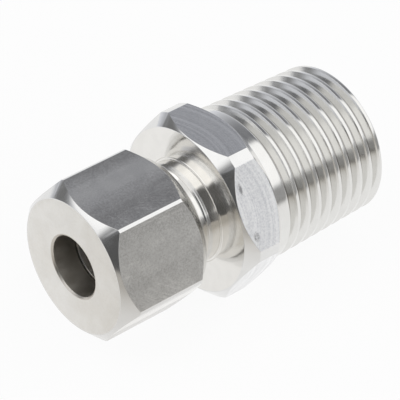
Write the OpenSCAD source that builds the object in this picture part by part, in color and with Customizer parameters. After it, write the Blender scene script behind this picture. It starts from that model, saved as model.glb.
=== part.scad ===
// Compression fitting that holds and seals a straight probe in the wall of a pipe or tank.
// Three turned steel pieces share one axis: a body with a taper thread, a ferrule, and a nut.
// The fitting lies on one flat of the body's hexagon. Its axis runs along X, and the nut is at -X.
// Places along the axis are counted from the body's shoulder, which faces the nut, towards the taper thread.

/* [Probe] */
// Diameter of the probe that passes through
probe_d = 8; // [7.5:0.1:8.4]
// Room across the diameter between the probe and the bores of nut and body
bore_room = 0.2; // [0.1:0.05:0.4]
// Room across the diameter between the probe and the ferrule
ferrule_room = 0.1; // [0.05:0.05:0.2]

/* [Body] */
// Width across the flats of the body's hexagon
body_flats = 22.6; // [22:0.1:24]
// Diameter of the round bar that the body is turned from
body_bar_d = 25.2; // [24.6:0.1:26]
// Length of the body's hexagon
body_hex_length = 6.1; // [5:0.1:8]
// Diameter of the flat shoulder that faces the nut
shoulder_d = 22.4; // [20:0.1:22.6]
// Diameter of the hexagon's rear face
body_rear_d = 22; // [21.6:0.1:22.4]
// Length of the neck in front of the shoulder
neck_length = 11.5; // [10.5:0.1:12.5]
// Length of the plain groove behind the neck's thread
relief_length = 2.3; // [2:0.1:2.8]
// Diameter of that plain groove
relief_d = 13.7; // [13:0.1:13.8]
// Radius of the fillet between the groove and the shoulder
relief_fillet = 0.2; // [0.15:0.05:0.8]

/* [Taper thread] */
// Length from the hexagon to the end of the thread
taper_length = 18.5; // [15:0.1:22]
// Diameter over the crests at the small end
taper_end_d = 20.1; // [19.8:0.05:20.3]
// Narrowing of the diameter for each millimetre along the axis
taper_rate = 0.0625; // [0.04:0.0025:0.07]
// Rise of one turn, 14 turns to the inch
taper_pitch = 1.8143; // [1.7:0.01:2]
// Depth of the groove
taper_depth = 1.05; // [0.9:0.05:1.1]
// Width of the groove's floor
taper_root = 0.27; // [0.15:0.01:0.35]
// Angle of each side of the groove
taper_flank = 27.5; // [25:0.5:30]
// Distance from the hexagon to the middle of the first groove, in line with the lowest flat
taper_start = 1.69; // [1:0.01:1.8]
// Plain length behind the hexagon before the groove starts
taper_plain = 1.5; // [1:0.1:2]
// Length along the axis in which the groove grows to its full depth
taper_runout = 0.7; // [0.4:0.1:1.2]
// Chamfer at the thread's end
taper_chamfer = 0.25; // [0.1:0.05:0.6]

/* [Nut] */
// Width across the flats of the nut
nut_flats = 19; // [18.6:0.1:20]
// Diameter that the nut's corners are turned to
nut_bar_d = 21.7; // [21.2:0.1:21.8]
// Length of the nut
nut_length = 13.85; // [12:0.05:15]
// Diameter of the nut's flat front face
nut_front_d = 18.2; // [17:0.1:18.6]
// Diameter of the nut's flat rear face
nut_rear_d = 17.8; // [17.3:0.1:18.4]
// Diameter where the chamfer behind the nut's hexagon ends and a narrowing round collar begins
nut_collar_d = 18.8; // [18.5:0.1:18.9]
// Length of that collar
nut_collar_length = 0.85; // [0.4:0.05:1.2]
// Length of the plain bore at the front of the nut
nut_bore_length = 3.45; // [3:0.05:4.5]
// Angle by which the nut's flats are turned from the body's
nut_turn = 5.2; // [0:0.1:60]
// Length of the wide chamber between the nut's inner shoulder and its thread
nut_chamber_length = 2.2; // [1.8:0.1:3]
// Room round the ferrule where the inner shoulder opens into the chamber
chamber_room = 0.3; // [0.2:0.05:0.5]
// Depth by which the chamber is cut past the thread's floor
chamber_undercut = 0.05; // [0.02:0.01:0.1]

/* [Neck thread] */
// Nominal diameter of the thread between nut and neck
neck_d = 16; // [15.6:0.1:16.2]
// Rise of one turn
neck_pitch = 1.5; // [1.4:0.05:1.6]
// Depth of the groove in the neck
neck_depth = 0.92; // [0.8:0.02:0.92]
// Width of the groove's floor
neck_root = 0.25; // [0.2:0.01:0.3]
// Angle of each side of the groove
neck_flank = 30; // [28:0.5:30]
// Room between the two threads, at their crests, roots and sides
neck_room = 0.1; // [0.08:0.01:0.14]

/* [Seat and ferrule] */
// Diameter of the seat's mouth in the end of the neck
seat_mouth_d = 10.6; // [10.2:0.1:11.2]
// Angle between the seat's wall and the axis
seat_angle = 12; // [10:0.5:14]
// Largest diameter of the ferrule
ferrule_d = 10.8; // [10.5:0.1:11.2]
// Length of the ferrule
ferrule_length = 6.6; // [6:0.1:7]
// Wall left at the ferrule's two ends
ferrule_edge = 0.3; // [0.2:0.05:0.4]
// Angle between the nut's inner shoulder and the axis
press_angle = 45; // [40:1:50]
// Gap between the ferrule and each cone that it seats on
seat_gap = 0.1; // [0.05:0.01:0.15]

/* [Edges] */
// Chamfer at the mouths of the bores
edge_break = 0.2; // [0.1:0.05:0.4]

/* [Hidden] */

// Overlap that keeps cuts and joints free of shared faces
over = 0.5;
// Sides of the faceted threads
thread_sides = 40;

bore_r = (probe_d + bore_room) / 2;
ferrule_bore_r = (probe_d + ferrule_room) / 2;

// Body, counted from its shoulder
neck_front = -neck_length;
body_hex_end = body_hex_length;
body_end = body_hex_end + taper_length;
neck_thread_length = neck_length - relief_length;
taper_start_r = (taper_end_d + taper_rate * taper_length) / 2;
seat_length = (seat_mouth_d / 2 - bore_r) / tan(seat_angle);

// Ferrule: its front end stops where the seat leaves it the thickness of its edge
ferrule_end_r = ferrule_bore_r + ferrule_edge;
ferrule_front = neck_front
    + (seat_mouth_d / 2 - seat_gap / cos(seat_angle) - ferrule_end_r) / tan(seat_angle);
ferrule_rear = ferrule_front - ferrule_length;

// Nut: its inner shoulder lies one gap behind the ferrule's rear cone
press_start = ferrule_rear
    - (ferrule_end_r - bore_r + seat_gap / cos(press_angle)) / tan(press_angle);
nut_front = press_start - nut_bore_length;
nut_rear = nut_front + nut_length;
chamber_mouth_r = ferrule_d / 2 + chamber_room;
chamber_start = press_start + (chamber_mouth_r - bore_r) / tan(press_angle);
nut_thread_start = chamber_start + nut_chamber_length;
nut_thread_r = neck_d / 2 + neck_room;
nut_thread_tip = neck_root - 2 * neck_room * (1 / cos(neck_flank) - tan(neck_flank));

// Place in the row's frame: middle of the length at X = 0, lowest flat at Z = 0
middle = (nut_front + body_end) / 2;
rest_height = body_flats / 2;

$fn = 96;

// Lays a piece that is drawn along Z down along X, with the shoulder where the frame wants it
module laid_down() {
    translate([-middle, 0, rest_height])
        rotate([0, 90, 0])
            children();
}

// Values of a list in rising order
function sorted(v) =
    len(v) < 2 ? v :
    let (pivot = v[floor(len(v) / 2)])
    concat(
        sorted([for (x = v) if (x < pivot) x]),
        [for (x = v) if (x == pivot) x],
        sorted([for (x = v) if (x > pivot) x])
    );

// Right-hand thread as one closed solid along Z, from 0 to length.
// crest_r is the radius over the crests at Z = 0, and narrowing is how much it falls for each millimetre.
// middle_0 is the height of one groove's middle at angle 0.
// fade, if given, holds two heights: a groove starts at the first and has its full depth from the second.
// chamfers gives the chamfer at each end.
module thread(length, pitch, crest_r, depth, root, flank, middle_0 = 0, narrowing = 0,
              fade = undef, chamfers = [0, 0]) {
    side = tan(flank);
    mouth_half_full = root / 2 + side * depth;
    // Lowest and highest groove, so that one full turn ends past each end of the solid
    first_turn = floor(-(middle_0 + mouth_half_full) / pitch);
    last_turn = ceil((length + mouth_half_full - middle_0) / pitch) - 1;

    // How much of its full depth a groove has where its middle is at this height
    function share(groove) =
        is_undef(fade) ? 1 : max(0, min(1, (groove - fade[0]) / (fade[1] - fade[0])));

    // Middle of the groove nearest to height z, along the line at this angle
    function nearest(z, angle) =
        let (first = middle_0 + pitch * angle / 360)
        first + pitch * round((z - first) / pitch);

    function cut(z, angle) =
        let (groove = nearest(z, angle))
        max(0, depth * share(groove) - max(0, abs(z - groove) - root / 2) / side);

    function blank_r(z) =
        crest_r - narrowing * z - max(0, chamfers[0] - z, chamfers[1] - (length - z));

    function thread_r(z, angle) = min(blank_r(z), crest_r - narrowing * z - cut(z, angle));

    // Heights of all edges along the line at this angle, four for each groove
    function heights(angle) = sorted([
        0, chamfers[0], length - chamfers[1], length,
        for (turn = [first_turn : last_turn])
            let (
                groove = middle_0 + pitch * (turn + angle / 360),
                mouth_half = root / 2 + side * depth * share(groove)
            )
            for (edge = [-mouth_half, -root / 2, root / 2, mouth_half])
                max(0, min(length, groove + edge))
    ]);

    lines = [for (i = [0 : thread_sides - 1])
        let (angle = 360 * i / thread_sides)
        [for (z = heights(angle)) let (r = thread_r(z, angle)) [r * cos(angle), r * sin(angle), z]]];
    rows = len(lines[0]);
    centre = thread_sides * rows;

    // Number of a point. Past the last line comes the first again, one groove further up.
    function point(line, row) =
        line < thread_sides ? line * rows + row : min(row + 4, rows - 1);

    polyhedron(
        points = concat([for (line = lines) each line], [[0, 0, 0], [0, 0, length]]),
        faces = [for (i = [0 : thread_sides - 1]) each concat(
            [
                [centre, point(i, 0), point(i + 1, 0)],
                [centre + 1, point(i + 1, rows - 1), point(i, rows - 1)]
            ],
            [for (k = [0 : rows - 2]) each [
                [point(i, k), point(i, k + 1), point(i + 1, k)],
                [point(i + 1, k), point(i, k + 1), point(i + 1, k + 1)]
            ]]
        )],
        convexity = 20
    );
}

// Hexagon cut on a round bar, both ends chamfered at 45 degrees: the front one down to the flat face,
// the rear one down to the first of the rear rings. A ring is its diameter and its distance from the end.
module hex_blank(flats, bar_d, length, front_d, rear_rings) {
    chamfer_end = rear_rings[0];
    intersection() {
        rotate(30)
            cylinder(d = flats / cos(30), h = length, $fn = 6);
        rotate_extrude()
            polygon([
                [0, 0],
                [front_d / 2, 0],
                [bar_d / 2, (bar_d - front_d) / 2],
                [bar_d / 2, length - chamfer_end[1] - (bar_d - chamfer_end[0]) / 2],
                for (ring = rear_rings) [ring[0] / 2, length - ring[1]],
                [0, length]
            ]);
    }
}

// Cutter for a bore from 0 to length, with a chamfer at its mouth at 0
module bore_from_mouth(length) {
    translate([0, 0, -over])
        cylinder(r = bore_r, h = length + over);
    translate([0, 0, -over])
        cylinder(r1 = bore_r + edge_break + over, r2 = bore_r, h = edge_break + over);
}

// Plain groove behind the neck's thread, with its fillet against the shoulder
module relief() {
    rotate_extrude()
        difference() {
            translate([0, -relief_length - over])
                square([relief_d / 2 + relief_fillet, relief_length + 2 * over]);
            translate([relief_d / 2 + relief_fillet, -relief_fillet])
                circle(r = relief_fillet);
            translate([relief_d / 2, -relief_length - 2 * over])
                square([relief_fillet + over, relief_length + 2 * over - relief_fillet]);
        }
}

module body_outside() {
    translate([0, 0, neck_front])
        thread(neck_thread_length, neck_pitch, neck_d / 2, neck_depth, neck_root, neck_flank,
               chamfers = [neck_depth, neck_depth]);
    relief();
    hex_blank(body_flats, body_bar_d, body_hex_length, shoulder_d, [[body_rear_d, 0]]);
    translate([0, 0, body_hex_end - over])
        thread(taper_length + over, taper_pitch, taper_start_r + taper_rate / 2 * over,
               taper_depth, taper_root, taper_flank,
               middle_0 = taper_start + over, narrowing = taper_rate / 2,
               fade = [taper_plain + over, taper_plain + taper_runout + over],
               chamfers = [0, taper_chamfer]);
}

module body() {
    color("lightgray") laid_down()
        difference() {
            body_outside();
            translate([0, 0, body_end])
                mirror([0, 0, 1])
                    bore_from_mouth(body_end - neck_front + over);
            // Conical seat for the ferrule
            translate([0, 0, neck_front])
                cylinder(r1 = seat_mouth_d / 2, r2 = bore_r, h = seat_length);
            translate([0, 0, neck_front - over])
                cylinder(d = seat_mouth_d, h = over);
        }
}

module ferrule() {
    // Both cones run on past the ferrule's ends, which the band between them then trims
    front_r = ferrule_end_r + ferrule_length * tan(seat_angle);
    rear_r = ferrule_end_r + ferrule_length * tan(press_angle);
    color("darkgray") laid_down()
        translate([0, 0, ferrule_rear])
            difference() {
                intersection() {
                    cylinder(r1 = front_r, r2 = ferrule_end_r, h = ferrule_length);
                    cylinder(r1 = ferrule_end_r, r2 = rear_r, h = ferrule_length);
                    cylinder(d = ferrule_d, h = ferrule_length);
                }
                translate([0, 0, -over])
                    cylinder(r = ferrule_bore_r, h = ferrule_length + 2 * over);
            }
}

// Everything that is cut out of the nut: bore, inner shoulder, chamber, thread and the thread's mouth
module nut_inside() {
    mouth_r = nut_thread_r + edge_break;
    translate([0, 0, nut_front])
        bore_from_mouth(nut_bore_length + over);
    translate([0, 0, press_start])
        cylinder(r1 = bore_r, r2 = chamber_mouth_r, h = chamber_start - press_start);
    translate([0, 0, chamber_start])
        cylinder(r = nut_thread_r + chamber_undercut, h = nut_chamber_length);
    translate([0, 0, nut_thread_start - over])
        thread(nut_rear - nut_thread_start + 2 * over, neck_pitch, nut_thread_r, neck_depth,
               nut_thread_tip, neck_flank, middle_0 = neck_front - nut_thread_start + over);
    translate([0, 0, nut_rear - neck_depth])
        cylinder(r1 = mouth_r - neck_depth, r2 = mouth_r + over, h = neck_depth + over);
}

module nut() {
    color("silver") laid_down()
        difference() {
            translate([0, 0, nut_front])
                rotate(nut_turn)
                    hex_blank(nut_flats, nut_bar_d, nut_length, nut_front_d,
                              [[nut_collar_d, nut_collar_length], [nut_rear_d, 0]]);
            nut_inside();
        }
}

body();
ferrule();
nut();
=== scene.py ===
"""Stainless compression fitting: turned, milled and threaded steel on a pale floor.

Each of the three pieces is one closed mesh, swept round the fitting's axis in code. Lengths in this script
are millimetres, angles are degrees, and both become metres and radians where Blender needs them.
Angles round the axis run from +Z towards -Y. Places along the axis are the frame's X.
"""

import math

import bmesh
import bpy
import numpy as np
from mathutils import Matrix, Vector


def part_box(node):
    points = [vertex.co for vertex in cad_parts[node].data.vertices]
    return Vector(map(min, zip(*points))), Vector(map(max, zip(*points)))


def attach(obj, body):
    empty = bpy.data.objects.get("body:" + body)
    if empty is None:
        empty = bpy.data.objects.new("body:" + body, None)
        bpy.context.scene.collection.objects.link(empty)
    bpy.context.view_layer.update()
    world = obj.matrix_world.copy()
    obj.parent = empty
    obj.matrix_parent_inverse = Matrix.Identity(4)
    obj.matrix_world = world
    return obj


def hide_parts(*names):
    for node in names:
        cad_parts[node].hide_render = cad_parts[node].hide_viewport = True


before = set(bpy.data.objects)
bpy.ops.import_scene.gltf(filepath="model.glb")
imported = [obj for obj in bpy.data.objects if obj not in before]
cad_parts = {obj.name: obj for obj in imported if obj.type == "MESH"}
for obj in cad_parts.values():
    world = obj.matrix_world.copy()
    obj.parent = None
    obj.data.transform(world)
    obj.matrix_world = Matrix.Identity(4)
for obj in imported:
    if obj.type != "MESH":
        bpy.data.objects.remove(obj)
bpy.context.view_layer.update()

MM = 0.001


def cad_box(node):
    """Lowest and highest corner of a CAD node in millimetres."""
    low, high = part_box(node)
    return low / MM, high / MM


# Places and sizes that the frame gives
BODY_LOW, BODY_HIGH = cad_box("body")
NUT_LOW, NUT_HIGH = cad_box("nut")
FERRULE_LOW, FERRULE_HIGH = cad_box("ferrule")
AXIS_HEIGHT = (BODY_LOW.z + BODY_HIGH.z) / 2
NECK_FRONT = BODY_LOW.x
BODY_END = BODY_HIGH.x
BODY_FLATS = BODY_HIGH.z - BODY_LOW.z
BODY_BAR_R = (BODY_HIGH.y - BODY_LOW.y) / 2

# Sizes of the body
NECK_LENGTH = 11.5
HEX_LENGTH = 6.1
SHOULDER_R = 11.2
HEX_REAR_R = 11.0
BORE_R = 4.1
SEAT_MOUTH_R = 5.3
SEAT_ANGLE = 12
NECK_FACE_R = SEAT_MOUTH_R + 1
RELIEF_LENGTH = 2.3
RELIEF_R = 6.85
RELIEF_FILLET = 0.2
REAR_FILLET = 0.34
SHOULDER_X = NECK_FRONT + NECK_LENGTH
HEX_REAR_X = SHOULDER_X + HEX_LENGTH

# Rings that a coarse feed left on the neck: how far in front of the shoulder they end and start, how many
# there are, the depth of the deepest, the share by which the depth varies, the step of its wave from ring
# to ring in radians, and the share of a ring that its long slope takes
FEED_RINGS = (1.35, 2.25)
FEED_COUNT = 7
FEED_DEPTH = 0.014
FEED_UNEVEN = 0.3
FEED_WAVE = 2.4
FEED_SLOPE = 0.9

# Groove round the foot of the neck: its radius, half width and depth
FOOT_GROOVE = (7.11, 0.06, 0.06)

# Sizes of the nut and the ferrule. NUT_TURN is the angle of the nut's first flat.
NUT_FLATS = 19
NUT_BAR_R = 10.85
NUT_FRONT_R = 9.1
NUT_REAR_R = 8.9
NUT_COLLAR_R = 9.4
NUT_COLLAR_LENGTH = 0.85
NUT_TURN = 5.2
NUT_BORE_LENGTH = 3.45
CHAMBER_MOUTH_R = 5.7
CHAMBER_LENGTH = 2.2
CHAMBER_R = 8.15
NUT_MOUTH_R = 8.3
FERRULE_BORE_R = 4.05
FERRULE_END_R = 4.35
FERRULE_R = 5.4
EDGE_BREAK = 0.2

# Roundings of edges: radius beside a flat and beside a face, the steps of each rounding, and the largest
# share of an edge that one takes
EDGE_ROUND = 0.07
FACE_ROUND = 0.05
ROUND_STEPS = 4
ROUND_SHARE = 0.45
BORE_MOUTH_R = BORE_R + EDGE_BREAK + 2 * FACE_ROUND

# Angle between two columns of a mesh, angle from the end of a flat to the extra columns beside it, and length
# over which the flat blends with the bar's round there
COLUMN_STEP = 2.0
CORNER_STEP = 0.25
CORNER_BLEND = 0.004

# Points closer than this are joined, and edges with a larger angle than this are sharp
JOIN_DISTANCE = 0.0008
SHARP_ANGLE = 30

# Threads: pitch, radius over the crests at the start, depth, floor width, flank angle, narrowing of the
# radius per millimetre, the roundings of a groove's edges towards -X and +X, and that of its root
TAPER_THREAD = dict(
    pitch=1.8143, crest_r=10.628125, depth=1.05, floor=0.22, flank=27.5, narrowing=0.03125,
    edge_rounds=(0.24, 0.04), root_round=0.1,
)
NECK_THREAD = dict(
    pitch=1.5, crest_r=8.0, depth=0.92, floor=0.25, flank=30.0, narrowing=0.0,
    edge_rounds=(0.04, 0.04), root_round=0.12,
)
NUT_THREAD = dict(
    pitch=1.5, crest_r=8.1, depth=0.92, floor=0.13453, flank=30.0, narrowing=0.0,
    edge_rounds=(0.04, 0.04), root_round=0.08,
)

# The taper thread's first groove, the two places between which its grooves grow to their full depth, both
# from the rear face of the hexagon, and the chamfer at its end
TAPER_FIRST_GROOVE = 1.45
TAPER_FADE = (1.5, 2.2)
TAPER_CHAMFER = 0.25

# Turns of a groove that are counted beyond each end of a thread
SPARE_TURNS = 2


def column_angles(first_flat, flats, bar_r):
    """Angles of a mesh's columns, one full turn, with columns on both sides of each corner of the hexagon."""
    half_flat = math.degrees(math.acos(flats / 2 / bar_r))
    angles = set(np.arange(0, 360, COLUMN_STEP).tolist())
    for k in range(6):
        middle = first_flat + 60 * k
        for side in (-1, 1):
            for step in (-CORNER_STEP, 0, CORNER_STEP):
                angles.add((middle + side * (half_flat + step)) % 360)
    ordered = sorted(angles)
    apart = [a for i, a in enumerate(ordered) if i == 0 or a - ordered[i - 1] > CORNER_STEP / 2]
    return np.array(apart + [apart[0] + 360])


def from_flat(angle, first_flat):
    """Angle from the middle of the nearest flat, between -30 and 30."""
    return (angle - first_flat + 30) % 60 - 30


def flat_number(angle, first_flat):
    """Number of the nearest flat, from 0 for the first one to 5."""
    return (angle - first_flat + 30) // 60 % 6


def hex_r(angle, first_flat, flats, bar_r):
    """Distance of a hexagon's surface from the axis, with its corners turned down to the bar's radius."""
    flat_r = flats / 2 / math.cos(math.radians(from_flat(angle, first_flat)))
    gap = flat_r - bar_r
    blended = (flat_r + bar_r - math.sqrt(gap * gap + CORNER_BLEND * CORNER_BLEND)) / 2
    return blended + CORNER_BLEND / 2 * math.exp(-abs(gap) / CORNER_BLEND)


def rounded(points, radii):
    """Profile with corners rounded: points are (x, r), and radii has one radius for each point."""
    points = [Vector(p) for p in points]
    result = [points[0]]
    for before, corner, after, radius in zip(points, points[1:], points[2:], radii[1:]):
        if radius == 0:
            result.append(corner)
            continue
        back, ahead = before - corner, after - corner
        turn = math.pi - back.angle(ahead)
        reach = min(radius * math.tan(turn / 2), ROUND_SHARE * back.length, ROUND_SHARE * ahead.length)
        start, end = corner + back.normalized() * reach, corner + ahead.normalized() * reach
        for i in range(ROUND_STEPS + 1):
            s = i / ROUND_STEPS
            result.append(start * (1 - s) ** 2 + corner * (2 * s * (1 - s)) + end * s ** 2)
    result.append(points[-1])
    return [(p.x, p.y) for p in result]


def ring(angles, profile):
    """Columns of points (x, r) that are the same at all angles."""
    return np.array([profile] * len(angles))


def groove_section(depth, floor, flank, edge_round, root_round):
    """Half of a groove's section: distances from its middle, and depths there."""
    mouth = floor / 2 + math.tan(math.radians(flank)) * depth
    corners = [(0, depth), (floor / 2, depth), (mouth, 0), (mouth + 2 * edge_round, 0)]
    return np.array(rounded(corners, [0, root_round, edge_round, 0])).T


def thread(angles, start, length, first_groove, pitch, crest_r, depth, floor, flank, narrowing,
           edge_rounds, root_round, chamfers=(0, 0), fade=None):
    """Columns of points (x, r) of a right-hand thread. first_groove is how far from the start the middle of
    one groove lies, at the lowest line of the fitting. fade has the places, from the start as well, between
    which the grooves grow to their full depth."""
    halves = [(side, *groove_section(depth, floor, flank, edge_round, root_round))
              for side, edge_round in zip((-1, 1), edge_rounds)]
    turns = np.arange(-SPARE_TURNS, math.ceil(length / pitch) + SPARE_TURNS + 1)
    columns = []
    for angle in angles:
        grooves = first_groove + pitch * (turns + (angle - 180) / 360)
        share = np.ones(len(grooves))
        if fade:
            share = np.clip((grooves - fade[0]) / (fade[1] - fade[0]), 0, 1)
        rows = [np.array([0, chamfers[0], length - chamfers[1], length])]
        spans = {}
        # A growing groove starts as wide as its floor and widens as it deepens
        for side, reach, _ in halves:
            inner = np.minimum(reach, floor / 2)
            spans[side] = inner[None, :] + (reach - inner)[None, :] * share[:, None]
            rows.append((grooves[:, None] + side * spans[side]).ravel())
        rows = np.sort(np.clip(np.concatenate(rows), 0, length))
        depths = np.zeros(len(rows))
        for side, reach, cut in halves:
            for k, groove in enumerate(grooves):
                away = side * (rows - groove)
                here = np.interp(away, spans[side][k], cut * share[k], left=0, right=0)
                depths = np.maximum(depths, here)
        blank = crest_r - narrowing * rows
        end_cut = np.maximum(0, np.maximum(chamfers[0] - rows, chamfers[1] - (length - rows)))
        columns.append(np.stack([start + rows, blank - np.maximum(depths, end_cut)], 1))
    return np.array(columns)


def build_piece(name, angles, sheets, finishes, first_flat):
    """One closed mesh from sheets of columns. A sheet is (columns, finish), and its finish is a finish's name
    or a function that gives one for an angle. The attribute flat_place has each point's place along the axis,
    its place across the nearest flat, and that flat's number."""
    points, places, quads, slots = [], [], [], []
    names = list(finishes)
    turn = np.radians(angles)[:, None]
    tilt = np.radians(from_flat(angles, first_flat))[:, None]
    number = flat_number(angles, first_flat)[:, None]
    for columns, finish in sheets:
        base = sum(len(p) for p in points)
        n_columns, n_rows = columns.shape[:2]
        x, r = columns[..., 0], columns[..., 1]
        position = np.stack([x, -r * np.sin(turn), AXIS_HEIGHT + r * np.cos(turn)], -1)
        points.append(position.reshape(-1, 3) * MM)
        place = np.stack([x * MM, r * np.sin(tilt) * MM, np.broadcast_to(number, r.shape)], -1)
        places.append(place.reshape(-1, 3))
        for i in range(n_columns - 1):
            middle = (angles[i] + angles[i + 1]) / 2
            slot = names.index(finish(middle) if callable(finish) else finish)
            for k in range(n_rows - 1):
                a = base + i * n_rows + k
                quads.append((a, a + 1, a + n_rows + 1, a + n_rows))
                slots.append(slot)
    mesh = bpy.data.meshes.new(name)
    mesh.from_pydata(np.concatenate(points).tolist(), [], quads)
    mesh.polygons.foreach_set("material_index", slots)
    attribute = mesh.attributes.new("flat_place", "FLOAT_VECTOR", "POINT")
    attribute.data.foreach_set("vector", np.concatenate(places).ravel())
    join_and_smooth(mesh)
    for finish in finishes.values():
        mesh.materials.append(finish)
    piece = bpy.data.objects.new(name, mesh)
    bpy.context.scene.collection.objects.link(piece)
    weighted = piece.modifiers.new("weighted normals", "WEIGHTED_NORMAL")
    weighted.keep_sharp = True
    return piece


def join_and_smooth(mesh):
    """Joins the sheets where they meet, turns all faces outwards and shades all but sharp edges smooth."""
    shell = bmesh.new()
    shell.from_mesh(mesh)
    bmesh.ops.remove_doubles(shell, verts=shell.verts, dist=JOIN_DISTANCE * MM)
    bmesh.ops.recalc_face_normals(shell, faces=shell.faces)
    shell.to_mesh(mesh)
    shell.free()
    mesh.polygons.foreach_set("use_smooth", [True] * len(mesh.polygons))
    mesh.set_sharp_from_angle(angle=math.radians(SHARP_ANGLE))


def hex_side(angle, first_flat, flats, bar_r, front, front_r, rear_rings):
    """Profile of a hexagon from its front face's edge to its rear face's edge, both chamfered at 45 degrees.
    rear_rings are the corners (x, r) from the end of the rear chamfer to the rear face."""
    side_r = hex_r(angle, first_flat, flats, bar_r)
    chamfer_x, chamfer_r = rear_rings[0]
    rear, rear_r = rear_rings[-1]
    corners = [
        (front, front_r - 2 * FACE_ROUND), (front, front_r), (front + side_r - front_r, side_r),
        (chamfer_x - (side_r - chamfer_r), side_r), *rear_rings, (rear, rear_r - 2 * FACE_ROUND),
    ]
    return rounded(corners, [0, FACE_ROUND, EDGE_ROUND, EDGE_ROUND] + [FACE_ROUND] * len(rear_rings) + [0])


def hex_sheets(angles, first_flat, flats, bar_r, front, front_r, rear_rings):
    """The front chamfer, the side and the rear chamfer of a hexagon. The side ends one row inside the
    rounding at each chamfer."""
    columns = np.array([
        hex_side(angle, first_flat, flats, bar_r, front, front_r, rear_rings) for angle in angles
    ])
    rows = ROUND_STEPS + 1
    side_start = 2 * rows - 1
    side_end = 2 * rows + 2
    return columns[:, :side_start + 1], columns[:, side_start:side_end + 1], columns[:, side_end:]


def flat_or_round(first_flat, flats, bar_r, flat_finishes, round_finish):
    """Finish of a hexagon's side at an angle: that of its flat, or of the bar's round at the corners."""
    half_flat = math.degrees(math.acos(flats / 2 / bar_r))

    def finish(angle):
        if abs(from_flat(angle, first_flat)) < half_flat:
            return flat_finishes[int(flat_number(angle, first_flat))]
        return round_finish

    return finish


# Finishes of the body's flats, from the top one on
BODY_FLAT_FINISHES = ["milled", "coarse", "milled", "coarse", "milled", "coarse"]


def relief_profile(thread_r):
    """Profile of the neck's plain part, from the end of its thread, at thread_r, over the feed rings."""
    thread_end = SHOULDER_X - RELIEF_LENGTH
    ring_end, ring_start = FEED_RINGS
    step = (ring_start - ring_end) / FEED_COUNT
    corners = [(thread_end, thread_r), (thread_end, RELIEF_R)]
    for i in range(FEED_COUNT):
        x = SHOULDER_X - ring_start + step * i
        share = 1 - FEED_UNEVEN + FEED_UNEVEN * math.sin(FEED_WAVE * i)
        corners.append((x, RELIEF_R - FEED_DEPTH * share))
        corners.append((x + FEED_SLOPE * step, RELIEF_R))
    corners.append((SHOULDER_X - ring_end, RELIEF_R))
    return rounded(corners, [0, FACE_ROUND] + [0] * (len(corners) - 2))


def shoulder_profile():
    """Profile of the neck's foot, the groove round it and the shoulder."""
    groove_r, half_width, groove_depth = FOOT_GROOVE
    corners = [
        (SHOULDER_X - FEED_RINGS[0], RELIEF_R), (SHOULDER_X, RELIEF_R),
        (SHOULDER_X, groove_r - half_width), (SHOULDER_X + groove_depth, groove_r),
        (SHOULDER_X, groove_r + half_width), (SHOULDER_X, SHOULDER_R - 2 * FACE_ROUND),
    ]
    return rounded(corners, [0, RELIEF_FILLET, 0, 0, 0, 0])


def build_body(finishes):
    angles = column_angles(0, BODY_FLATS, BODY_BAR_R)
    seat_end = NECK_FRONT + (SEAT_MOUTH_R - BORE_R) / math.tan(math.radians(SEAT_ANGLE))
    inside = rounded([
        (BODY_END, BORE_MOUTH_R), (BODY_END, BORE_R + EDGE_BREAK), (BODY_END - EDGE_BREAK, BORE_R),
        (seat_end, BORE_R), (NECK_FRONT, SEAT_MOUTH_R), (NECK_FRONT, NECK_FACE_R),
    ], [0, FACE_ROUND, FACE_ROUND, 0, FACE_ROUND, 0])

    neck_depth = NECK_THREAD["depth"]
    neck_start_r = NECK_THREAD["crest_r"] - neck_depth
    neck = thread(angles, NECK_FRONT, NECK_LENGTH - RELIEF_LENGTH, 0, **NECK_THREAD,
                  chamfers=(neck_depth, neck_depth))

    hexagon = (0, BODY_FLATS, BODY_BAR_R)
    front_chamfer, side, rear_chamfer = hex_sheets(
        angles, *hexagon, SHOULDER_X, SHOULDER_R, [(HEX_REAR_X, HEX_REAR_R)],
    )

    taper_start_r = TAPER_THREAD["crest_r"] - TAPER_THREAD["narrowing"] * REAR_FILLET
    taper_start = (HEX_REAR_X + REAR_FILLET, taper_start_r)
    rear_fillet = rounded([
        (HEX_REAR_X, HEX_REAR_R - 2 * FACE_ROUND), (HEX_REAR_X, taper_start_r), taper_start,
    ], [0, REAR_FILLET, 0])
    taper = thread(angles, HEX_REAR_X, BODY_END - HEX_REAR_X, TAPER_FIRST_GROOVE, **TAPER_THREAD,
                   chamfers=(0, TAPER_CHAMFER), fade=TAPER_FADE)
    # The thread starts where the fillet ends, and its last groove runs out through the end face
    taper[taper[..., 0] < taper_start[0]] = taper_start
    end_face = np.stack([taper[:, -1], np.full((len(angles), 2), (BODY_END, BORE_MOUTH_R))], axis=1)

    sheets = [
        (ring(angles, inside), "bore"),
        (ring(angles, [(NECK_FRONT, NECK_FACE_R), (NECK_FRONT, neck_start_r)]), "warm"),
        (neck, "neck_thread"),
        (ring(angles, relief_profile(neck_start_r)), "fed"),
        (ring(angles, shoulder_profile()), "warm"),
        (front_chamfer, "turned"),
        (side, flat_or_round(*hexagon, BODY_FLAT_FINISHES, "turned")),
        (rear_chamfer, "turned"),
        (ring(angles, rear_fillet), "turned"),
        (taper, "taper_thread"),
        (end_face, "turned"),
    ]
    return build_piece("body_shell", angles, sheets, finishes, 0)


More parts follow.
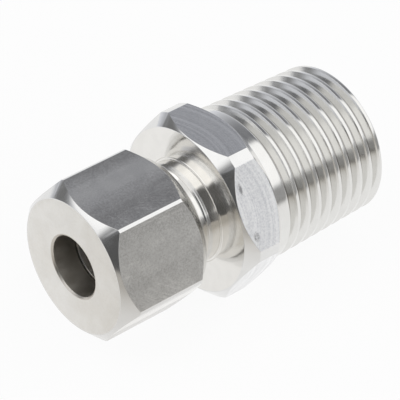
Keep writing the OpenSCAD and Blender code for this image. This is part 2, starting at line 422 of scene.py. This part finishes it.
def build_nut(finishes):
    angles = column_angles(NUT_TURN, NUT_FLATS, NUT_BAR_R)
    front, rear = NUT_LOW.x, NUT_HIGH.x
    press_start = front + NUT_BORE_LENGTH
    chamber_start = press_start + CHAMBER_MOUTH_R - BORE_R
    thread_start = chamber_start + CHAMBER_LENGTH
    inside = rounded([
        (front, BORE_MOUTH_R), (front, BORE_R + EDGE_BREAK), (front + EDGE_BREAK, BORE_R),
        (press_start, BORE_R), (chamber_start, CHAMBER_MOUTH_R), (chamber_start, CHAMBER_R),
        (thread_start, CHAMBER_R),
    ], [0] + [FACE_ROUND] * 5 + [0])

    hexagon = (NUT_TURN, NUT_FLATS, NUT_BAR_R)
    front_chamfer, side, rear_chamfer = hex_sheets(
        angles, *hexagon, front, NUT_FRONT_R, [(rear - NUT_COLLAR_LENGTH, NUT_COLLAR_R), (rear, NUT_REAR_R)],
    )

    # The first groove is counted from the neck's front, as the neck's own are
    inner_thread = thread(angles, thread_start, rear - thread_start, NECK_FRONT - thread_start, **NUT_THREAD)
    # A chamfer of 45 degrees opens the thread's rear end, and its first row is on the chamber's wall
    mouth_r = NUT_MOUTH_R - (rear - inner_thread[..., 0])
    inner_thread[..., 1] = np.maximum(inner_thread[..., 1], mouth_r)
    inner_thread[:, 0, 1] = CHAMBER_R

    sheets = [
        (ring(angles, [(front, BORE_MOUTH_R), (front, NUT_FRONT_R - 2 * FACE_ROUND)]), "satin"),
        (front_chamfer, "turned"),
        (side, flat_or_round(*hexagon, ["drawn"] * 6, "turned")),
        (rear_chamfer, "turned"),
        (ring(angles, [(rear, NUT_MOUTH_R), (rear, NUT_REAR_R - 2 * FACE_ROUND)]), "turned"),
        (inner_thread, "neck_thread"),
        (ring(angles, inside), "bore"),
    ]
    return build_piece("nut_shell", angles, sheets, finishes, NUT_TURN)


def build_ferrule(finishes):
    angles = np.arange(0, 360 + COLUMN_STEP, COLUMN_STEP)
    rear, front = FERRULE_LOW.x, FERRULE_HIGH.x
    press_length = FERRULE_R - FERRULE_END_R
    cone_length = press_length / math.tan(math.radians(SEAT_ANGLE))
    middle_r = (FERRULE_BORE_R + FERRULE_END_R) / 2
    section = rounded([
        (rear, middle_r), (rear, FERRULE_END_R), (rear + press_length, FERRULE_R),
        (front - cone_length, FERRULE_R), (front, FERRULE_END_R), (front, FERRULE_BORE_R),
        (rear, FERRULE_BORE_R), (rear, middle_r),
    ], [0] + [FACE_ROUND] * 6 + [0])
    return build_piece("ferrule_shell", angles, [(ring(angles, section), "turned")], finishes, 0)


# Sockets that a mix node has for colours
MIX_FACTOR = 0
MIX_A = 6
MIX_B = 7
MIX_RESULT = 2


class Nodes:
    """Adds nodes to a tree and links them. An input is a value or another node's output."""

    def __init__(self, tree):
        self.tree = tree
        tree.nodes.clear()

    def put(self, socket, value):
        """Links an output to a socket, or sets the socket to a value."""
        if isinstance(value, bpy.types.NodeSocket):
            self.tree.links.new(value, socket)
        else:
            socket.default_value = value

    def add(self, kind, inputs=None, output=0, **settings):
        """Adds a node and returns one of its outputs, if it has any."""
        node = self.tree.nodes.new("ShaderNode" + kind)
        for key, value in settings.items():
            setattr(node, key, value)
        for key, value in (inputs or {}).items():
            self.put(node.inputs[key], value)
        return node.outputs[output] if len(node.outputs) else None

    def place(self):
        """Place on the object."""
        return self.add("TexCoord", output="Object")

    def parts(self, vector):
        """The three parts of a vector."""
        node = self.tree.nodes.new("ShaderNodeSeparateXYZ")
        self.put(node.inputs[0], vector)
        return list(node.outputs)

    def turned(self, vector, angle):
        """The vector as it is seen from axes that are turned round Z by an angle."""
        inputs = {"Vector": vector, "Angle": -math.radians(angle)}
        return self.add("VectorRotate", inputs, rotation_type="Z_AXIS")

    def vector(self, operation, *vectors):
        """Arithmetic with vectors. A length or a dot product is a number."""
        output = "Value" if operation in ("LENGTH", "DOT_PRODUCT") else "Vector"
        return self.add("VectorMath", dict(enumerate(vectors)), output=output, operation=operation)

    def math(self, operation, a, b=0.0, c=0.0):
        return self.add("Math", {0: a, 1: b, 2: c}, operation=operation)

    def weighted(self, *terms):
        """Sum of values, each times its weight."""
        total = 0.0
        for value, weight in terms:
            total = self.math("MULTIPLY_ADD", value, weight, total)
        return total

    def ramp(self, value, low, high, to_low=0.0, to_high=1.0):
        """Smooth step from to_low to to_high while the value goes from low to high."""
        inputs = {"Value": value, "From Min": low, "From Max": high, "To Min": to_low, "To Max": to_high}
        return self.add("MapRange", inputs, interpolation_type="SMOOTHSTEP")

    def noise(self, place, scale, detail=2.0, roughness=0.5):
        inputs = {"Vector": place, "Scale": scale, "Detail": detail, "Roughness": roughness}
        return self.add("TexNoise", inputs)

    def mix_color(self, factor, a, b):
        node = self.tree.nodes.new("ShaderNodeMix")
        node.data_type = "RGBA"
        self.put(node.inputs[MIX_FACTOR], factor)
        self.put(node.inputs[MIX_A], a)
        self.put(node.inputs[MIX_B], b)
        return node.outputs[MIX_RESULT]


# Dark marks on the body's coarse flats: flat, counted from the top one, place along the axis and across it,
# half length and half width. The last line is their colour.
BODY_MARKS = (
    (1, -2.1, -2.8, 0.3, 0.8),
    (1, -1.8, 3.6, 0.45, 0.65),
    (3, 0.5, -3.0, 0.3, 0.5),
    (5, 1.4, 2.0, 0.3, 0.4),
)
MARK_COLOR = (0.4, 0.4, 0.41)

# Places where the nut's flats are scuffed: flat, counted from the top one, place along the axis and across
# it, half length, half width, and angle of the scratches
NUT_SCUFFS = (
    (0, -18.5, -4.6, 0.6, 2.0, 86),
    (0, -18.2, 3.9, 1.1, 1.6, 66),
    (0, -13.6, 3.9, 2.4, 1.5, 32),
    (1, -19.6, -0.9, 1.9, 0.25, 1),
    (1, -19.0, 0.3, 2.4, 0.2, -1),
    (1, -16.3, 4.4, 3.4, 1.6, 38),
    (1, -13.5, -4.8, 4.0, 0.9, 4),
    (2, -15.0, 2.0, 2.5, 1.6, -40),
    (4, -17.0, -2.0, 2.5, 1.6, 55),
)

# Marks and scuffs fade at their edges, between these shares of their half size. The next flat counts as
# this many half sizes away, so each shows on its own flat alone.
SPOT_EDGE = (0.6, 1.2)
FLAT_APART = 9.0

# How far the pattern of the streaks moves from one flat to the next, and that of the scratches from one
# scuff to the next
STREAK_SHIFT = 7.3
SCRATCH_SHIFT = 3.1

# Painted sheen on a drawn flat, a light band beside its middle: its place across the flat, the distances from
# there between which it fades, and its strength on flats of even and of odd number. Painted light makes the
# odd ones lighter by the last value, a lit copy of the even ones.
DRAWN_SHEEN_PLACE = -1.7
DRAWN_SHEEN_FADE = (0.3, 3.4)
DRAWN_SHEEN_STRENGTH = (0.8, 0.2)
DRAWN_ODD_LIGHT = 0.45

# Arcs of the fine and of the coarse mill: their centre, along the axis and across the flat, and how many
# there are in a metre
FINE_ARCS = ((-11.7, 1.0), 1700.0)
COARSE_ARCS = ((-10.3, 0.0), 1500.0)

# Depths below the crest line between which painted shade darkens the taper thread's flanks towards the roots
THREAD_SHADE_DEPTHS = (0.85, 1.02)


def turned_place(n):
    """Coordinates of a turned surface: along the axis and out from it, the same all the way round."""
    x, y, z = n.parts(n.place())
    up = n.math("SUBTRACT", z, AXIS_HEIGHT * MM)
    out = n.math("SQRT", n.math("ADD", n.math("MULTIPLY", y, y), n.math("MULTIPLY", up, up)))
    return n.add("CombineXYZ", {0: x, 1: out})


def flat_place(n):
    """Coordinates of a flat: along the axis, across the flat, and its number."""
    return n.add("Attribute", output="Vector", attribute_name="flat_place")


def patches(n):
    """Soft patches, a few to each flat."""
    return n.ramp(n.noise(n.place(), scale=600.0, detail=3.0), 0.35, 0.65)


def spot(n, place, flat, centre, size):
    """1 in an ellipse on one flat and 0 round it. centre and the half widths in size are in millimetres,
    along the axis and across it."""
    off = n.vector("SUBTRACT", place, (centre[0] * MM, centre[1] * MM, flat))
    stretched = n.vector("MULTIPLY", off, (1 / (size[0] * MM), 1 / (size[1] * MM), FLAT_APART))
    return n.ramp(n.vector("LENGTH", stretched), *SPOT_EDGE, 1.0, 0.0)


def scratches(n, place, angle, shift):
    """Fine straight scratches side by side, at an angle to the axis."""
    long = n.vector("MULTIPLY_ADD", n.turned(place, angle), (500.0, 6000.0, 1.0), (shift, shift, shift))
    return n.ramp(n.noise(long, scale=1.0, detail=3.0, roughness=0.6), 0.52, 0.68)


def streaks(n, place, along, across):
    """Streaks along the axis. along and across are how many there are in a metre."""
    long = n.vector("MULTIPLY", place, (along, across, STREAK_SHIFT))
    return n.noise(long, scale=1.0, detail=4.0, roughness=0.6)


def arcs(n, centre, scale):
    """Rings round a point of the flat, which a mill's teeth cut as it crosses."""
    off = n.vector("SUBTRACT", flat_place(n), (centre[0] * MM, centre[1] * MM, 0))
    reach = n.vector("LENGTH", n.vector("MULTIPLY", off, (1.0, 1.0, 0.0)))
    return n.noise(n.add("CombineXYZ", {0: reach}), scale, detail=2.0, roughness=0.55)


def grainy_arcs(n, share):
    """Arcs of the coarse mill under a rough grain. share is the arcs' part."""
    grain = n.noise(n.place(), scale=3600.0, detail=5.0, roughness=0.8)
    return n.weighted((arcs(n, *COARSE_ARCS), share), (grain, 1.0 - share))


def scuffed(n, place):
    """How much a place on the nut is scuffed."""
    terms = []
    for i, (flat, x, across, half_length, half_width, angle) in enumerate(NUT_SCUFFS):
        lines = scratches(n, place, angle, SCRATCH_SHIFT * i)
        terms.append((lines, spot(n, place, flat, (x, across), (half_length, half_width))))
    return n.weighted(*terms)


def turned_relief(n):
    """Fine rings that a lathe tool leaves."""
    return n.noise(turned_place(n), scale=9000.0, detail=4.0, roughness=0.6)


def blasted_relief(n):
    """Fine matt grain."""
    return n.noise(n.place(), scale=7000.0, detail=4.0, roughness=0.65)


def drawn_relief(n):
    """Marks on a drawn and worn flat: faint streaks along it, a fine grain and the scuffs."""
    place = flat_place(n)
    grain = n.noise(n.place(), scale=4500.0, detail=3.0, roughness=0.65)
    return n.weighted((streaks(n, place, 900.0, 5000.0), 0.2), (grain, 0.9), (scuffed(n, place), -0.3))


def fine_relief(n):
    """Marks of the fine mill: arcs over a fine grain."""
    grain = n.noise(n.place(), scale=4200.0, detail=4.0, roughness=0.7)
    return n.weighted((arcs(n, *FINE_ARCS), 1.0), (grain, 0.2))


def coarse_relief(n):
    """Marks of the coarse mill."""
    return grainy_arcs(n, 0.4)


def drawn_tone_and_sheen(n):
    """Long bands of a drawn flat under a fine mottle and scuffs, with a painted sheen: the lightest band, a
    little beside its middle. Flats of odd number are lighter and more even, which is painted light."""
    place = flat_place(n)
    _, across, flat = n.parts(place)
    odd = n.math("MODULO", flat, 2.0)
    even_strength, odd_strength = DRAWN_SHEEN_STRENGTH
    strength = n.math("MULTIPLY_ADD", odd, odd_strength - even_strength, even_strength)
    off = n.math("ABSOLUTE", n.math("SUBTRACT", across, DRAWN_SHEEN_PLACE * MM))
    # Painted sheen: a light band along the flat, a little beside its middle
    middle = n.ramp(off, DRAWN_SHEEN_FADE[0] * MM, DRAWN_SHEEN_FADE[1] * MM, 1.0, 0.0)
    bands = n.ramp(streaks(n, place, 60.0, 500.0), 0.3, 0.7)
    mottle = n.ramp(n.noise(n.place(), scale=3800.0, detail=4.0, roughness=0.75), 0.36, 0.64)
    # The odd flats also get painted light on top, as a lit copy of the even ones
    return n.weighted(
        (middle, strength), (bands, n.math("MULTIPLY", strength, 0.4)), (mottle, 0.36),
        (odd, DRAWN_ODD_LIGHT), (scuffed(n, place), 0.35),
    )


def fine_tone(n):
    """Faint light and dark arcs of the fine mill with a fine grain."""
    grain = n.noise(n.place(), scale=4500.0, detail=4.0, roughness=0.8)
    return n.ramp(n.weighted((arcs(n, *FINE_ARCS), 0.5), (grain, 0.5)), 0.36, 0.64)


def coarse_tone(n):
    """Light and dark arcs of the coarse mill, broken up by its grain."""
    return n.ramp(grainy_arcs(n, 0.45), 0.36, 0.6)


def thread_shade_and_patches(n):
    """Painted shade in the roots of the taper thread, growing with depth below the crest line, under faint
    random patches.
    """
    along, out, _ = n.parts(turned_place(n))
    narrowing = TAPER_THREAD["narrowing"]
    start_r = TAPER_THREAD["crest_r"] + narrowing * HEX_REAR_X
    crest_r = n.math("MULTIPLY_ADD", along, -narrowing, start_r * MM)
    depth = n.math("SUBTRACT", crest_r, out)
    # Painted shade: the flanks turn dark as they go deeper into the groove
    light = n.ramp(depth, THREAD_SHADE_DEPTHS[0] * MM, THREAD_SHADE_DEPTHS[1] * MM, 1.0, 0.0)
    return n.math("MULTIPLY", light, n.math("MULTIPLY_ADD", patches(n), 0.08, 0.92))


def satin_tone(n):
    """Faint large stains under a fine mottle."""
    stains = n.ramp(n.noise(n.place(), scale=170.0, detail=3.0, roughness=0.6), 0.35, 0.65)
    mottle = n.ramp(n.noise(n.place(), scale=2600.0, detail=3.0, roughness=0.7), 0.3, 0.7)
    return n.weighted((stains, 0.6), (mottle, 0.4))


def steel(name, tints, roughness, anisotropy, relief, relief_depth, tone=patches, marks=()):
    """Finish of bare steel. relief is a function that makes its fine relief from the nodes, relief_depth the
    depth of that in millimetres, and tone a function that gives the share of the lighter tint. Anisotropy
    stretches the gloss across the rings of a turned surface. marks are dark spots."""
    material = bpy.data.materials.new(name)
    material.use_nodes = True
    n = Nodes(material.node_tree)
    light, dark = tints
    color = n.mix_color(tone(n), (*dark, 1), (*light, 1))
    for flat, x, across, half_length, half_width in marks:
        here = spot(n, flat_place(n), flat, (x, across), (half_length, half_width))
        broken = n.ramp(n.noise(n.place(), scale=2500.0, detail=3.0, roughness=0.7), 0.3, 0.55)
        color = n.mix_color(n.math("MULTIPLY", here, broken), color, (*MARK_COLOR, 1))
    bump = n.add("Bump", {"Height": relief(n), "Strength": 1.0, "Distance": relief_depth * MM})
    rough = n.ramp(patches(n), 0.0, 1.0, *roughness)
    inputs = {"Base Color": color, "Metallic": 1.0, "Roughness": rough, "Normal": bump}
    if anisotropy:
        inputs["Anisotropic"] = anisotropy
        inputs["Anisotropic Rotation"] = 0.25
        inputs["Tangent"] = n.add("Tangent", direction_type="RADIAL", axis="X")
    shader = n.add("BsdfPrincipled", inputs)
    n.add("OutputMaterial", {"Surface": shader})
    return material


# Tints of the steel, each with the darker one that it varies to
BRIGHT = ((0.785, 0.783, 0.775), (0.76, 0.758, 0.75))
# The taper thread's darker tint is painted shade for its roots
THREAD_WITH_ROOT_SHADE = ((0.79, 0.785, 0.765), (0.5, 0.49, 0.475))
WARM = ((0.825, 0.812, 0.785), (0.80, 0.787, 0.76))
SATIN = ((0.87, 0.86, 0.835), (0.81, 0.79, 0.75))
FINE = ((0.95, 0.95, 0.955), (0.73, 0.73, 0.735))
COARSE = ((0.98, 0.985, 0.99), (0.70, 0.71, 0.74))
DRAWN = ((0.985, 0.975, 0.95), (0.55, 0.54, 0.525))
# Darker, browner steel for the bores of the body and the nut: painted shade inside them
BORE_SHADED = ((0.66, 0.63, 0.58), (0.60, 0.57, 0.52))
# The ferrule, seen through the nut's bore, varies down to the bores' painted shade
FERRULE_PART_SHADED = (BRIGHT[1], BORE_SHADED[0])


def body_finishes():
    return {
        "turned": steel("turned_steel", BRIGHT, (0.1, 0.12), 0.5, turned_relief, 0.001),
        "warm": steel("neck_steel", WARM, (0.1, 0.12), 0.5, turned_relief, 0.001),
        "fed": steel("fed_steel", BRIGHT, (0.13, 0.17), 0.5, turned_relief, 0.002),
        "milled": steel("end_milled_steel", FINE, (0.2, 0.24), 0.0, fine_relief, 0.026, fine_tone),
        "coarse": steel(
            "coarse_milled_steel", COARSE, (0.48, 0.54), 0.0, coarse_relief, 0.06, coarse_tone, BODY_MARKS,
        ),
        "neck_thread": steel("neck_thread_steel", WARM, (0.16, 0.2), 0.4, turned_relief, 0.001),
        "taper_thread": steel(
            "taper_thread_steel", THREAD_WITH_ROOT_SHADE, (0.13, 0.17), 0.3, turned_relief, 0.0015, thread_shade_and_patches,
        ),
        "bore": steel("body_bore_steel", BORE_SHADED, (0.35, 0.41), 0.6, turned_relief, 0.002),
    }


def nut_finishes():
    return {
        "satin": steel("satin_face_steel", SATIN, (0.4, 0.46), 0.0, blasted_relief, 0.003, satin_tone),
        "drawn": steel("drawn_flat_steel", DRAWN, (0.21, 0.24), 0.0, drawn_relief, 0.005, drawn_tone_and_sheen),
        "turned": steel("nut_turned_steel", BRIGHT, (0.15, 0.19), 0.4, turned_relief, 0.001),
        "neck_thread": steel("nut_thread_steel", BRIGHT, (0.16, 0.2), 0.4, turned_relief, 0.001),
        "bore": steel("nut_bore_steel", BORE_SHADED, (0.35, 0.41), 0.6, turned_relief, 0.002),
    }


def ferrule_finishes():
    return {"turned": steel("ferrule_steel", FERRULE_PART_SHADED, (0.36, 0.42), 0.7, turned_relief, 0.001)}


# Surroundings that the steel reflects. The backdrop grows darker from the horizon up, between its two
# elevations. Each screen has the azimuth (from +X towards +Y) and elevation of its middle, its half width
# and half height, half the width of its soft edge, and its brightness.
BACKDROP = (-3, 47)
BACKDROP_LOW = (0.88, 0.90, 0.96)
BACKDROP_HIGH = (0.207, 0.212, 0.228)
SCREENS = (
    (0, 92, 180, 32, 6, 0.85),
    (155, 45, 35, 19, 5, 1.2),
    (161, 57, 43, 12, 6, 1.4),
    (-58, 39, 58, 24, 4, 1.18),
    (-103, 44, 12, 26, 4, 1.45),
    (-72, 4.5, 48, 11, 4, 0.35),
    (-146, 13, 29, 21, 4, 0.1),
    (-136, 40, 21, 18, 4, 0.13),
    (119, 12, 14, 12, 7, 0.19),
)


def build_surroundings():
    world = bpy.data.worlds.new("studio")
    bpy.context.scene.world = world
    world.use_nodes = True
    n = Nodes(world.node_tree)
    look = n.add("TexCoord", output="Generated")
    elevation = n.math("DEGREES", n.math("ARCSINE", n.parts(look)[2]))
    height = n.add("MapRange", {"Value": elevation, "From Min": BACKDROP[0], "From Max": BACKDROP[1]})
    color = n.mix_color(height, (*BACKDROP_LOW, 1), (*BACKDROP_HIGH, 1))
    for azimuth, middle, half_width, half_height, edge, brightness in SCREENS:
        x, y, _ = n.parts(n.turned(look, azimuth))
        off = n.math("ABSOLUTE", n.math("DEGREES", n.math("ARCTAN2", y, x)))
        above = n.math("ABSOLUTE", n.math("SUBTRACT", elevation, float(middle)))
        wide = n.ramp(off, half_width - edge, half_width + edge, 1.0, 0.0)
        tall = n.ramp(above, half_height - edge, half_height + edge, 1.0, 0.0)
        color = n.mix_color(n.math("MULTIPLY", wide, tall), color, (brightness, brightness, brightness, 1))
    background = n.add("Background", {"Color": color, "Strength": 1.0})
    n.add("OutputWorld", {"Surface": background})


# Floor: half its width, how far it lies below the fitting, its colours, and the share of plain white in it
# where the camera or the steel looks at it
FLOOR_HALF = 3000
FLOOR_DROP = 0.02
FLOOR_COLOR = (0.95, 0.95, 0.945)
FLOOR_COLOR_LOW = (0.93, 0.93, 0.925)
FLOOR_WHITE = 0.93

# The white that the steel sees is darker and warmer on the camera's side: the azimuth of that side, the
# distance over which it changes, the brightness left, and its colour
FLOOR_FADE_SIDE = -140
FLOOR_FADE = 70
FLOOR_FADED = 0.5
FLOOR_WARM = (1.0, 0.95, 0.87)

# It also ends in the dark beside the fitting: the azimuth of that side, the distances between which it
# ends, and the brightness left
FLOOR_EDGE_SIDE = -45
FLOOR_EDGE = (110, 300)
FLOOR_EDGE_LEFT = 0.3


def towards(n, place, azimuth):
    """How far a place lies to the side that the azimuth gives."""
    side = math.radians(azimuth)
    return n.vector("DOT_PRODUCT", place, (math.cos(side), math.sin(side), 0))


def build_floor():
    half = FLOOR_HALF * MM
    corners = [(x * half, y * half, -FLOOR_DROP * MM) for x, y in ((-1, -1), (1, -1), (1, 1), (-1, 1))]
    mesh = bpy.data.meshes.new("floor")
    mesh.from_pydata(corners, [], [(0, 1, 2, 3)])
    floor = bpy.data.objects.new("floor", mesh)
    bpy.context.scene.collection.objects.link(floor)
    material = bpy.data.materials.new("pale_floor")
    material.use_nodes = True
    n = Nodes(material.node_tree)
    place = n.place()
    tone = n.mix_color(n.noise(place, scale=40.0), (*FLOOR_COLOR_LOW, 1), (*FLOOR_COLOR, 1))
    matt = n.add("BsdfPrincipled", {"Base Color": tone, "Roughness": 0.9})
    near = n.ramp(towards(n, place, FLOOR_FADE_SIDE), 0.0, FLOOR_FADE * MM)
    beside = towards(n, place, FLOOR_EDGE_SIDE)
    edge = n.ramp(beside, FLOOR_EDGE[0] * MM, FLOOR_EDGE[1] * MM, 1.0, FLOOR_EDGE_LEFT)
    faded = n.math("MULTIPLY", n.math("MULTIPLY_ADD", near, FLOOR_FADED - 1.0, 1.0), edge)
    path = n.tree.nodes.new("ShaderNodeLightPath").outputs
    direct = n.math("MAXIMUM", path["Is Camera Ray"], path["Is Transmission Ray"])
    seen = n.math("MAXIMUM", direct, path["Is Glossy Ray"])
    warm = n.math("MULTIPLY", near, n.math("SUBTRACT", 1.0, direct))
    hue = n.mix_color(warm, (1, 1, 1, 1), (*FLOOR_WARM, 1))
    white = n.add("Emission", {"Color": hue, "Strength": n.math("MAXIMUM", direct, faded)})
    surface = n.add("MixShader", {0: n.math("MULTIPLY", seen, FLOOR_WHITE), 1: matt, 2: white})
    n.add("OutputMaterial", {"Surface": surface})
    mesh.materials.append(material)


# Camera: what it aims at, its distance from there, its azimuth (from -Y towards +X) and elevation, its
# roll, and the length of its lens
CAMERA_AIM = Vector((-0.51, 0.40, 11.23))
CAMERA_DISTANCE = 361.94
CAMERA_AZIMUTH = -42.967
CAMERA_ELEVATION = 39.220
CAMERA_ROLL = 3.481
CAMERA_LENS = 259.36


def build_camera():
    azimuth, elevation = math.radians(CAMERA_AZIMUTH), math.radians(CAMERA_ELEVATION)
    flat = math.cos(elevation)
    ahead = Vector((-math.sin(azimuth) * flat, math.cos(azimuth) * flat, -math.sin(elevation)))
    level = Vector((math.cos(azimuth), math.sin(azimuth), 0))
    upright = level.cross(ahead)
    roll = math.radians(CAMERA_ROLL)
    right = level * math.cos(roll) + upright * math.sin(roll)
    above = right.cross(ahead)
    place = (CAMERA_AIM - ahead * CAMERA_DISTANCE) * MM
    data = bpy.data.cameras.new("camera")
    data.sensor_fit = "HORIZONTAL"
    data.lens = CAMERA_LENS
    data.clip_start = 0.01
    camera = bpy.data.objects.new("camera", data)
    turn = Matrix((right, above, -ahead)).transposed().to_4x4()
    camera.matrix_world = Matrix.Translation(place) @ turn
    bpy.context.scene.collection.objects.link(camera)
    bpy.context.scene.camera = camera


def dress(piece, node, body):
    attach(piece, body)
    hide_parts(node)


build_camera()
build_surroundings()
build_floor()
dress(build_body(body_finishes()), "body", "body")
dress(build_ferrule(ferrule_finishes()), "ferrule", "ferrule")
dress(build_nut(nut_finishes()), "nut", "nut")
bpy.context.scene.view_settings.view_transform = "Standard"
